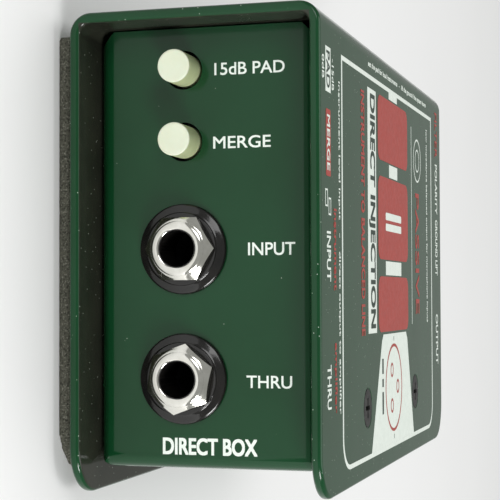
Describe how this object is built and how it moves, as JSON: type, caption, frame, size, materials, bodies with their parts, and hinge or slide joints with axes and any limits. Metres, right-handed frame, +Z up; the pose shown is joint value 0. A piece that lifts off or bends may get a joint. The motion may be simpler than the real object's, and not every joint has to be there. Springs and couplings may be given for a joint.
{
  "type": "direct injection box",
  "caption": "Passive direct injection box: a folded steel sleeve around a recessed chassis with push switches, phone jacks and a balanced output.",
  "frame": {"origin": "centre of the box's outline on the underside of the no-slip pad", "axes": "+Z up out of the top plate, -Y out of the front panel with the jacks and switches, -X out of the closed spine, +X towards the open side"},
  "size_m": [0.084, 0.127, 0.048],
  "materials": {
    "green_paint": "gloss dark green baked enamel with a fine orange peel",
    "foam_rubber": "matt closed-cell foam rubber, finely speckled",
    "ivory_plastic": "satin ivory moulding",
    "white_plastic": "satin white moulding",
    "black_plastic": "semi-gloss black moulding",
    "grey_plastic": "matt dark grey moulding",
    "nickel": "polished nickel plate",
    "black_screw": "black oxide",
    "circuit_board": "green solder resist",
    "screening_can": "dull satin alloy",
    "core_steel": "stacked laminations",
    "copper_wire": "enamelled copper wire",
    "yellow_film": "dipped yellow coating",
    "red_film": "moulded red case",
    "resistor_coating": "beige lacquer"
  },
  "bodies": {
    "enclosure": {"outer_shell": "green_paint", "inner_chassis": "green_paint", "no_slip_pad": "foam_rubber", "circuit_board": "circuit_board", "transformer_can": "screening_can", "transformer_base": "black_plastic", "transformer_core": "core_steel", "transformer_winding": "copper_wire", "xlr_shell": "black_plastic", "xlr_insert": "black_plastic", "ground_lift_capacitor": "yellow_film", "speaker_filter_capacitor": "red_film", "shell_screw_1": "black_screw", "shell_screw_2": "black_screw", "shell_screw_3": "black_screw", "shell_screw_4": "black_screw", "input_jack_ring": "black_plastic", "input_jack_nut": "nickel", "input_jack_bushing": "nickel", "input_jack_inner_washer": "black_plastic", "input_jack_housing": "grey_plastic", "thru_jack_ring": "black_plastic", "thru_jack_nut": "nickel", "thru_jack_bushing": "nickel", "thru_jack_inner_washer": "black_plastic", "thru_jack_housing": "grey_plastic", "pad_switch_body": "grey_plastic", "merge_switch_body": "grey_plastic", "speaker_switch_body": "grey_plastic", "polarity_switch_body": "grey_plastic", "ground_lift_switch_body": "grey_plastic", "xlr_pin_1": "nickel", "xlr_pin_2": "nickel", "xlr_pin_3": "nickel", "xlr_screw_1": "black_screw", "xlr_screw_2": "black_screw", "pad_resistor_1": "resistor_coating", "pad_resistor_2": "resistor_coating", "merge_resistor_1": "resistor_coating", "merge_resistor_2": "resistor_coating", "ground_lift_resistor": "resistor_coating"},
    "pad_actuator": {"pad_switch_plunger": "white_plastic", "pad_button": "ivory_plastic"},
    "merge_actuator": {"merge_switch_plunger": "white_plastic", "merge_button": "ivory_plastic"},
    "speaker_actuator": {"speaker_switch_plunger": "white_plastic", "speaker_button": "ivory_plastic"},
    "polarity_actuator": {"polarity_switch_plunger": "white_plastic", "polarity_button": "ivory_plastic"},
    "ground_lift_actuator": {"ground_lift_switch_plunger": "white_plastic", "ground_lift_button": "ivory_plastic"},
    "input_tip_contact": {"input_jack_tip_spring": "nickel"},
    "thru_tip_contact": {"thru_jack_tip_spring": "nickel"}
  },
  "joints": [
    {"name": "pad_press", "type": "slide", "parent": "enclosure", "child": "pad_actuator", "axis": [0, 1, 0], "range_m": [0, 0.003], "stiffness_N_per_m": 500, "springref_m": -0.0015},
    {"name": "merge_press", "type": "slide", "parent": "enclosure", "child": "merge_actuator", "axis": [0, 1, 0], "range_m": [0, 0.003], "stiffness_N_per_m": 500, "springref_m": -0.0015},
    {"name": "speaker_press", "type": "slide", "parent": "enclosure", "child": "speaker_actuator", "axis": [0, -1, 0], "range_m": [0, 0.003], "stiffness_N_per_m": 500, "springref_m": -0.0015},
    {"name": "polarity_press", "type": "slide", "parent": "enclosure", "child": "polarity_actuator", "axis": [0, -1, 0], "range_m": [0, 0.003], "stiffness_N_per_m": 500, "springref_m": -0.0015},
    {"name": "ground_lift_press", "type": "slide", "parent": "enclosure", "child": "ground_lift_actuator", "axis": [0, -1, 0], "range_m": [0, 0.003], "stiffness_N_per_m": 500, "springref_m": -0.0015},
    {"name": "input_tip_contact_flex", "type": "hinge", "parent": "enclosure", "child": "input_tip_contact", "pos_m": [-0.0008, -0.0457, 0.02615], "axis": [1, 0, 0], "range_deg": [0, 6], "stiffness_Nm_per_rad": 0.25, "springref_deg": -1.15},
    {"name": "thru_tip_contact_flex", "type": "hinge", "parent": "enclosure", "child": "thru_tip_contact", "pos_m": [0.0219, -0.0457, 0.02615], "axis": [1, 0, 0], "range_deg": [0, 6], "stiffness_Nm_per_rad": 0.25, "springref_deg": -1.15}
  ]
}
